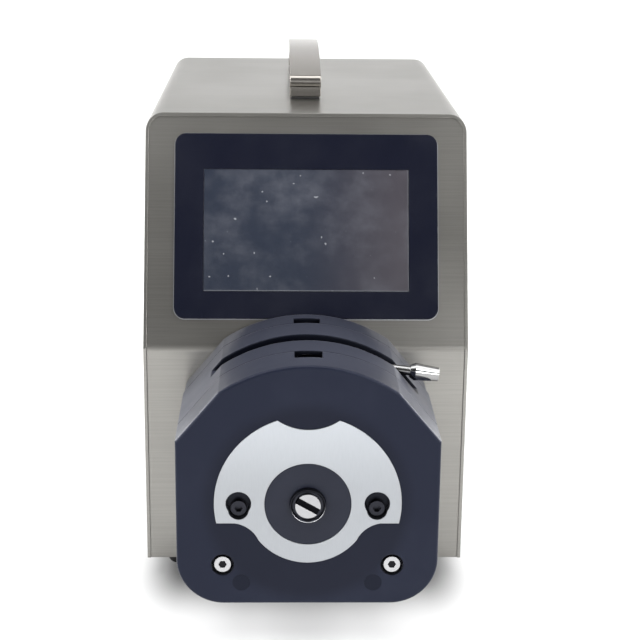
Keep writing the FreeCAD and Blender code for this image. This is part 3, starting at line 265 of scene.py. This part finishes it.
def display_face():
    """Switched-off screen: bluish grey, with a painted reflection that makes it warmer and paler to the right, and
    faint smudges and dust.
    """
    look = Shader("display", (0.013, 0.018, 0.032), 0.3, Coat_Weight=0.15, Coat_Roughness=0.12)
    smudge = look.noise(1.0, 5.0, 0.62, look.stretched((27, 27, 33)))
    dust = look.noise(520.0, 0.0)
    # Painted reflection: warmer and paler towards the right.
    tone = look.blend_color(look.remap(look.along("X"), -0.01, 0.05, 0.0, 0.75), (0.05, 0.043, 0.05))
    tone = look.blend_color(look.remap(smudge, 0.44, 0.8, 0.0, 0.65), (0.075, 0.08, 0.1), tone)
    look.paint(look.blend_color(look.remap(dust, 0.83, 0.87, 0.0, 0.6), (0.3, 0.31, 0.33), tone))
    look.gloss(look.remap(smudge, 0.35, 0.75, 0.29, 0.45))
    return look.material


def bezel_glass():
    """Dark cover glass with a thin greasy film."""
    look = Shader("bezel", (0.006, 0.007, 0.0145), 0.2, Specular_IOR_Level=0.38)
    look.soft_edges(0.0004)
    film = look.noise(30.0, 4.0, 0.6)
    look.gloss(look.remap(film, 0.3, 0.75, 0.14, 0.26))
    look.paint(look.blend_color(look.remap(film, 0.5, 0.8, 0.0, 0.3), (0.009, 0.0105, 0.019)))
    return look.material


def face_metal():
    """Satin aluminium plate, with painted light that makes it paler towards its top: very fine even grain, no
    lettering.
    """
    look = Shader("nameplate", (0.365, 0.38, 0.4), 0.4, 0.85)
    look.soft_edges(0.0002)
    grain = look.noise(1.0, 3.0, 0.6, look.stretched((2600, 300, 240)))
    cloud = look.noise(18.0, 2.0, 0.5)
    # Painted light: paler towards the plate's top.
    tone = look.blend_color(look.remap(look.along("Z"), 0.07, 0.112), (0.5, 0.525, 0.555))
    look.paint(look.blend_color(look.remap(cloud, 0.4, 0.75, 0.0, 0.25), (0.38, 0.4, 0.43), tone))
    look.gloss(look.remap(grain, 0.3, 0.7, 0.36, 0.5))
    look.bump(grain, 0.05, 0.00002)
    return look.material


def circuit_board():
    """Green board with slightly raised paler tracks."""
    look = Shader("circuit_board", (0.012, 0.085, 0.04), 0.38)
    tracks = look.add("ShaderNodeTexBrick")
    tracks.inputs["Scale"].default_value = 260.0
    tracks.inputs["Mortar Size"].default_value = 0.035
    look.link(look.coords, tracks.inputs["Vector"])
    look.paint(look.blend_color(tracks.outputs["Fac"], (0.04, 0.16, 0.08)))
    look.bump(tracks.outputs["Fac"], 0.2, 0.00004)
    return look.material


def rubber():
    """Dull black rubber with fine pores and a little dust."""
    look = Shader("rubber", (0.008, 0.008, 0.009), 0.72, Specular_IOR_Level=0.25)
    look.soft_edges(0.0006)
    pores = look.noise(2200.0, 2.0, 0.5)
    dust = look.noise(40.0, 4.0, 0.65)
    look.paint(look.blend_color(look.remap(dust, 0.5, 0.8, 0.0, 0.4), (0.02, 0.02, 0.02)))
    look.bump(pores, 0.3, 0.00005)
    return look.material


def distance_from_axis(look):
    """How far a spot lies from the rotor's axis, whatever its depth."""
    flat = look.add("ShaderNodeMapping")
    flat.inputs["Location"].default_value = (0, 0, -AXIS_HEIGHT)
    flat.inputs["Scale"].default_value = (1, 0, 1)
    look.link(look.coords, flat.inputs["Vector"])
    length = look.add("ShaderNodeVectorMath", operation="LENGTH")
    look.link(flat.outputs["Vector"], length.inputs[0])
    return length.outputs["Value"]


def head_plastic():
    """The head's moulding: sheen at a grazing look, painted shade near black in crevices, and painted shade round
    the nameplate.
    """
    look = Shader("head_plastic", (0.006, 0.008, 0.018), 0.34,
                  Specular_IOR_Level=0.23, Specular_Tint=(0.78, 0.82, 1.0, 1.0),
                  Sheen_Weight=0.13, Sheen_Roughness=0.32, Sheen_Tint=(0.88, 0.9, 1.0, 1.0))
    look.soft_edges(0.001)
    pebble = look.noise(1400.0, 2.0, 0.6)
    cloud = look.noise(22.0, 4.0, 0.6)
    # Painted shade: darker round the nameplate, where the moulding's relief would be shaded.
    painted_shade_near_plate = look.remap(distance_from_axis(look), 0.039, 0.047, 0.75, 0.0)
    # Painted shade: the base colour goes near black where ambient occlusion finds a crevice.
    cavity = look.add("ShaderNodeAmbientOcclusion", samples=8)
    cavity.inputs["Distance"].default_value = 0.02
    painted_crevice_shade = look.remap(cavity.outputs["AO"], 0.4, 0.8, 0.9, 0.0)
    tone = look.blend_color(look.remap(cloud, 0.42, 0.72, 0.0, 0.5), (0.014, 0.017, 0.03))
    tone = look.blend_color(painted_shade_near_plate, (0.0022, 0.003, 0.0085), tone)
    look.paint(look.blend_color(painted_crevice_shade, (0.0008, 0.001, 0.0018), tone))
    look.gloss(look.remap(cloud, 0.3, 0.7, *gloss_range(0.34, 0.05, 0.07)))
    look.bump(pebble, 0.25, 0.00004)
    return look.material


MATERIALS = {
    "stainless": sheet_metal("stainless", (0.325, 0.317, 0.297), 0.3, (25, 1600, 1600)),
    "base_sheet": sheet_metal("base_sheet", (0.42, 0.42, 0.41), 0.42, (1800, 16, 1800)),
    "screw_steel": turned_metal("screw_steel", (0.6, 0.6, 0.6), 0.3),
    "head_screw": turned_metal("head_screw", (0.48, 0.48, 0.49), 0.26),
    "polished_steel": polished_metal("polished_steel", (0.33, 0.33, 0.33), 0.07),
    "handle_steel": sheet_metal("handle_steel", (0.4, 0.378, 0.35), 0.22, (2600, 20, 2600), 0.0006),
    "handle_pad": plastic("handle_pad", (0.015, 0.015, 0.015), 0.5),
    "rubber": rubber(),
    "bezel": bezel_glass(),
    "display": display_face(),
    "circuit_board": circuit_board(),
    "board_post": turned_metal("board_post", (0.7, 0.55, 0.28), 0.3),
    "head_plastic": head_plastic(),
    "disc_plastic": plastic("disc_plastic", (0.009, 0.011, 0.021), 0.36, Specular_IOR_Level=0.23),
    "clamp_plastic": plastic("clamp_plastic", (0.62, 0.62, 0.58), 0.45),
    "dark_metal": turned_metal("dark_metal", (0.03, 0.031, 0.038), 0.28),
    "nameplate": face_metal(),
    "bright_shaft": turned_metal("bright_shaft", (0.43, 0.43, 0.44), 0.22, (300, 60, 300)),
    "roller_cage": turned_metal("roller_cage", (0.55, 0.55, 0.55), 0.28),
    "roller": plastic("roller", (0.68, 0.68, 0.64), 0.38, strength=0.12),
    "machined": turned_metal("machined", (0.68, 0.68, 0.69), 0.34, (60, 500, 500)),
    "motor_black": plastic("motor_black", (0.02, 0.02, 0.02), 0.4),
    "motor_rotor": turned_metal("motor_rotor", (0.5, 0.5, 0.5), 0.3),
    "fan_plastic": plastic("fan_plastic", (0.014, 0.014, 0.015), 0.48),
    "guard_wire": turned_metal("guard_wire", (0.72, 0.72, 0.72), 0.2),
    "inlet_plastic": plastic("inlet_plastic", (0.016, 0.016, 0.017), 0.46),
    "brass": turned_metal("brass", (0.75, 0.56, 0.26), 0.24),
    "rocker_plastic": plastic("rocker_plastic", (0.012, 0.012, 0.012), 0.2, strength=0.05),
    "port_metal": turned_metal("port_metal", (0.62, 0.62, 0.6), 0.3),
}
# Near black for the painted shade in the driver slot.
SHADOW = Shader("shadow_black", (0.002, 0.002, 0.003), 0.7, Specular_IOR_Level=0.05).material
# Pale metal for painted highlights: the collar's bright arc and the rim round the screen.
PAINTED_HIGHLIGHT = turned_metal("painted_highlight_metal", (0.7, 0.71, 0.74), 0.28)
EDGE = Shader("screen_edge", (0.13, 0.14, 0.155), 0.35).material
SOCKET_SHADE = Shader("socket_painted_shade", (0.009, 0.009, 0.011), 0.5, Specular_IOR_Level=0.08).material
MARK = Shader("sink_mark", (0.005, 0.0068, 0.0155), 0.5, Specular_IOR_Level=0.14).material


def dress_nodes():
    """Give each sub-part the material that its record names; the centre disc has its own plastic."""
    for piece in frame["record"]["subparts"]:
        mesh = nodes[piece["node"]].data
        mesh.materials.clear()
        mesh.materials.append(MATERIALS[piece["material_slot"]])
    nodes["centre_disc"].data.materials[0] = MATERIALS["disc_plastic"]


# ---------------------------------------------------------------- trim

def mesh_item(name, points, faces, material, smooth=False):
    """A new object made of the given points and faces."""
    mesh = bpy.data.meshes.new(name)
    mesh.from_pydata(points, [], faces, shade_flat=not smooth)
    mesh.materials.append(material)
    item = bpy.data.objects.new(name, mesh)
    bpy.context.scene.collection.objects.link(item)
    return item


def strip_faces(first, second, count):
    """Four-sided faces between two closed rows of points, given by each row's first point."""
    return [(first + i, second + i, second + (i + 1) % count, first + (i + 1) % count)
            for i in range(count)]


def slab(name, size, place, turn, material, body):
    """A thin box centred on a point, turned about the X or Y axis."""
    corners = [(x * size[0] / 2, y * size[1] / 2, z * size[2] / 2)
               for x in (-1, 1) for y in (-1, 1) for z in (-1, 1)]
    faces = [(0, 1, 3, 2), (4, 6, 7, 5), (0, 4, 5, 1), (2, 3, 7, 6), (0, 2, 6, 4), (1, 5, 7, 3)]
    item = mesh_item(name, corners, faces, material)
    item.matrix_world = Matrix.Translation(place) @ turn
    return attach(item, body)


def painted_highlight_arc(name, centre, radius, thick, start, end, material, body):
    """A slim pale edge along part of a ring that faces the front, fading to nothing at its ends: a painted
    highlight.
    """
    steps, sides = 48, 8
    points = []
    for step in range(steps + 1):
        share = step / steps
        angle = math.radians(start + (end - start) * share)
        tube = thick * max(math.sin(math.pi * share), 0.02) ** 0.5
        for side in range(sides):
            turn = 2 * math.pi * side / sides
            reach = radius + tube * math.cos(turn)
            points.append((reach * math.cos(angle), tube * math.sin(turn), reach * math.sin(angle)))
    faces = [tuple(range(sides)), tuple(reversed(range(steps * sides, (steps + 1) * sides)))]
    for step in range(steps):
        faces += strip_faces(step * sides, (step + 1) * sides, sides)
    item = mesh_item(name, points, faces, material, smooth=True)
    item.location = centre
    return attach(item, body)


def plug(name, radius, depth, centre, sides, material, body):
    """A short straight-sided plug that faces the front."""
    points = []
    for y in (-depth / 2, depth / 2):
        for side in range(sides):
            angle = 2 * math.pi * (side + 0.5) / sides
            points.append((radius * math.cos(angle), y, radius * math.sin(angle)))
    faces = [tuple(range(sides)), tuple(reversed(range(sides, 2 * sides)))]
    faces += strip_faces(0, sides, sides)
    item = mesh_item(name, points, faces, material)
    item.location = centre
    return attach(item, body)


def on_slope(x, up, out):
    """A point on the sloping face: sideways, up from the bend and out from the sheet."""
    return BEND + Vector((x, 0, 0)) + UP * up + OUT * out


def rounded_loop(grow):
    """Points of the rim's rounded rectangle on the sloping face, made larger all round by grow."""
    corner = RIM_CORNER + grow
    side = RIM_HALF + grow - corner
    low = RIM_LOW - grow + corner
    high = RIM_HIGH + grow - corner
    points = []
    for quarter, (x, up) in enumerate(((side, high), (-side, high), (-side, low), (side, low))):
        for step in range(CORNER_STEPS + 1):
            angle = math.radians(90 * quarter + 90 * step / CORNER_STEPS)
            points.append(on_slope(x + corner * math.cos(angle), up + corner * math.sin(angle), RIM_OUT))
    return points


def screen_rim_highlight():
    """A narrow pale band on the sheet all round the screen's cover, a painted highlight of its rounded edge."""
    inner = rounded_loop(0.0)
    outer = rounded_loop(RIM_WIDTH)
    count = len(inner)
    faces = [(i, (i + 1) % count, count + (i + 1) % count, count + i) for i in range(count)]
    item = mesh_item("screen_rim_highlight", [tuple(point) for point in inner + outer], faces, PAINTED_HIGHLIGHT)
    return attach(item, "case")


def screen_edges():
    """Thin grey lines along the display's lower and right edges, just in front of it."""
    thin, inset, out = 0.0001, 0.0002, SCREEN_OUT + 0.00002
    low_line, right_line = 0.00024, 0.00016
    width = SCREEN_WIDTH - 2 * inset
    height = SCREEN_HIGH - SCREEN_LOW - 2 * inset
    low_place = on_slope(0, SCREEN_LOW + 0.00018, out)
    right_place = on_slope(SCREEN_WIDTH / 2 - 0.00022, (SCREEN_LOW + SCREEN_HIGH) / 2, out)
    slab("screen_edge_low", (width, thin, low_line), low_place, LEAN, EDGE, "case")
    slab("screen_edge_right", (right_line, thin, height), right_place, LEAN, EDGE, "case")


def painted_slot_shade():
    """A dark slab in the driver slot, set back from the shaft's end: painted shade for the slot's depth."""
    place = (0, SHAFT_TIP + SLOT_DEPTH + PAINTED_SLOT_SHADE_SIZE[1] / 2, AXIS_HEIGHT)
    slab("painted_slot_shade", PAINTED_SLOT_SHADE_SIZE, place, Matrix.Rotation(SLOT_ANGLE, 4, "Y"), SHADOW, "rotor")


def socket_and_sink(name, side):
    """On one side: a dark plug in a screw's hexagonal socket, painted shade for the socket's depth, and the round
    sink mark below it.
    """
    x, y, z = SOCKET_PLACE
    # Painted shade: a dark plug set in the socket.
    plug("socket_" + name, SOCKET_RADIUS, SOCKET_DEPTH, (side * x, y, z), 6, SOCKET_SHADE, "case")
    x, y, z = SINK_PLACE
    plug("sink_" + name, SINK_RADIUS, SINK_DEPTH, (side * x, y, z), 40, MARK, "case")


def trim():
    """The small pieces laid over the sub-parts."""
    collar = (0, COLLAR_FRONT + HIGHLIGHT_BACK, AXIS_HEIGHT)
    # Painted highlight: a bright arc along the lower part of the collar's edge, where light from above falls.
    painted_highlight_arc("collar_highlight", collar, HIGHLIGHT_RADIUS, HIGHLIGHT_THICK, 165, 385, PAINTED_HIGHLIGHT, "case")
    screen_edges()
    screen_rim_highlight()
    painted_slot_shade()
    socket_and_sink("left", -1)
    socket_and_sink("right", 1)


# ---------------------------------------------------------------- studio

def contact_distance(paper):
    """How far a spot on the table lies outside the case's footprint, counted double sideways."""
    half_width, half_depth, middle, sideways = 0.056, 0.118, 0.033, 2
    value = paper.add("ShaderNodeMapping")
    value.inputs["Location"].default_value = (0, -middle, 0)
    value.inputs["Scale"].default_value = (sideways, 1, 0)
    paper.link(paper.coords, value.inputs["Vector"])
    edge = (half_width * sideways, half_depth, 0)
    steps = (("ABSOLUTE", None), ("SUBTRACT", edge), ("MAXIMUM", (0, 0, 0)), ("LENGTH", None))
    for operation, number in steps:
        step = paper.add("ShaderNodeVectorMath", operation=operation)
        paper.link(value.outputs[0], step.inputs[0])
        if number is not None:
            step.inputs[1].default_value = number
        value = step
    return value.outputs["Value"]


def table_paper():
    """White paper with a painted glow, stronger low down, and a painted shadow that darkens it where the object
    stands.
    """
    paper = Shader("paper", (0.5, 0.5, 0.5), 0.7, Specular_IOR_Level=0.2,
                   Emission_Color=(1.0, 1.0, 1.0, 1.0))
    distance = contact_distance(paper)
    # Painted light: the table glows, more low down than up the curve, and less near the object.
    painted_glow = paper.add("ShaderNodeMath", operation="MULTIPLY")
    paper.link(paper.remap(paper.along("Z"), 0.2, 0.7, 0.38, 0.02), painted_glow.inputs[0])
    paper.link(paper.remap(distance, 0.0, PAINTED_SHADOW_REACH, PAINTED_SHADOW_LIGHT, 1.0), painted_glow.inputs[1])
    paper.link(painted_glow.outputs[0], paper.surface.inputs["Emission Strength"])
    # Painted shadow: the base colour darkens towards the object's footprint.
    painted_shadow = paper.remap(distance, 0.0, PAINTED_SHADOW_REACH, 1.0 - PAINTED_SHADOW_LIGHT, 0.0)
    paper.paint(paper.blend_color(painted_shadow, (0.03, 0.03, 0.03)))
    return paper.material


def backdrop():
    """A pale, softly lit table that curves up behind the object."""
    half, front, back, bend, top = 3.0, -3.0, 1.4, 0.6, 3.0
    bend_steps = 12
    profile = [(front, 0.0), (back - bend, 0.0)]
    for step in range(1, bend_steps + 1):
        angle = math.radians(90 * step / bend_steps)
        profile.append((back - bend + bend * math.sin(angle), bend - bend * math.cos(angle)))
    profile.append((back, top))
    points = [(x, y, z) for y, z in profile for x in (-half, half)]
    faces = [(2 * i, 2 * i + 1, 2 * i + 3, 2 * i + 2) for i in range(len(profile) - 1)]
    sweep = mesh_item("sweep", points, faces, table_paper(), smooth=True)


def area_light(name, place, aim, size, power):
    """A rectangular lamp that faces a point."""
    data = bpy.data.lights.new(name, "AREA")
    data.shape = "RECTANGLE"
    data.size, data.size_y = size
    data.energy = power
    lamp = bpy.data.objects.new(name, data)
    lamp.location = place
    lamp.rotation_euler = (Vector(aim) - Vector(place)).to_track_quat("-Z", "Y").to_euler()
    bpy.context.scene.collection.objects.link(lamp)


def lights():
    """A soft box overhead, two in front, and a pair each at the rims, high up and at the sides."""
    area_light("top_box", (0.0, -0.1, 1.6), (0, -0.1, 0.0), (2.2, 1.0), 17)
    area_light("front_right", (1.1, -1.9, 0.6), (0, 0, 0.1), (1.0, 0.6), 18)
    area_light("front_left", (-1.3, -1.9, 0.45), (0, 0, 0.1), (0.8, 0.5), 14)
    pairs = (("rim", (0.8, 0.45, 0.4), (0.03, -0.12, 0.1), (0.5, 0.5), 7),
             ("high", (0.85, -1.1, 1.5), (0, -0.1, 0.1), (0.6, 0.7), 8.5),
             ("side", (1.6, 0.1, 0.9), (0, -0.1, 0.1), (0.9, 0.9), 26))
    for name, (x, y, z), (aim_x, aim_y, aim_z), size, power in pairs:
        area_light(name + "_left", (-x, y, z), (-aim_x, aim_y, aim_z), size, power)
        area_light(name + "_right", (x, y, z), (aim_x, aim_y, aim_z), size, power)


def room(low, high):
    """A studio that is bright behind and above the object and dim on the viewer's side."""
    world = bpy.data.worlds.new("studio")
    world.use_nodes = True
    tree = world.node_tree
    background = tree.nodes["Background"]
    background.inputs["Color"].default_value = (1.0, 1.0, 1.0, 1.0)
    way = tree.nodes.new("ShaderNodeTexCoord").outputs["Generated"]

    def falling_off(direction, start, end, dim, bright):
        """Brightness that rises as the look turns towards a direction."""
        toward = tree.nodes.new("ShaderNodeVectorMath")
        toward.operation = "DOT_PRODUCT"
        toward.inputs[1].default_value = direction
        tree.links.new(way, toward.inputs[0])
        return eased(tree, toward.outputs["Value"], start, end, dim, bright)

    overhead = falling_off((0.0, 0.77, 0.64), 0.0, 0.75, low, high)
    skirting = falling_off((0.12, 0.0, -1.0), -0.5, 0.0, 0.0, 0.42)
    total = tree.nodes.new("ShaderNodeMath")
    total.operation = "MAXIMUM"
    tree.links.new(overhead, total.inputs[0])
    tree.links.new(skirting, total.inputs[1])
    tree.links.new(total.outputs[0], background.inputs["Strength"])
    bpy.context.scene.world = world


def camera():
    """The viewpoint: slightly left of centre, looking down about 16 degrees."""
    right = Vector((0.99967, -0.02352, 0.01072))
    ahead = Vector((0.02560, 0.95861, -0.28356)).normalized()
    up = right.cross(ahead).normalized()
    right = ahead.cross(up).normalized()
    data = bpy.data.cameras.new("view")
    data.lens = 88.26
    data.sensor_width = 36.0
    data.clip_start = 0.02
    eye = bpy.data.objects.new("view", data)
    basis = Matrix((right, up, -ahead)).transposed()
    eye.matrix_world = Matrix.Translation((-0.0120, -0.7699, 0.3278)) @ basis.to_4x4()
    bpy.context.scene.collection.objects.link(eye)
    bpy.context.scene.camera = eye


# ---------------------------------------------------------------- the scene

dress_nodes()
trim()
backdrop()
room(0.06, 0.75)
lights()
bpy.context.scene.view_settings.view_transform = "Standard"
camera()
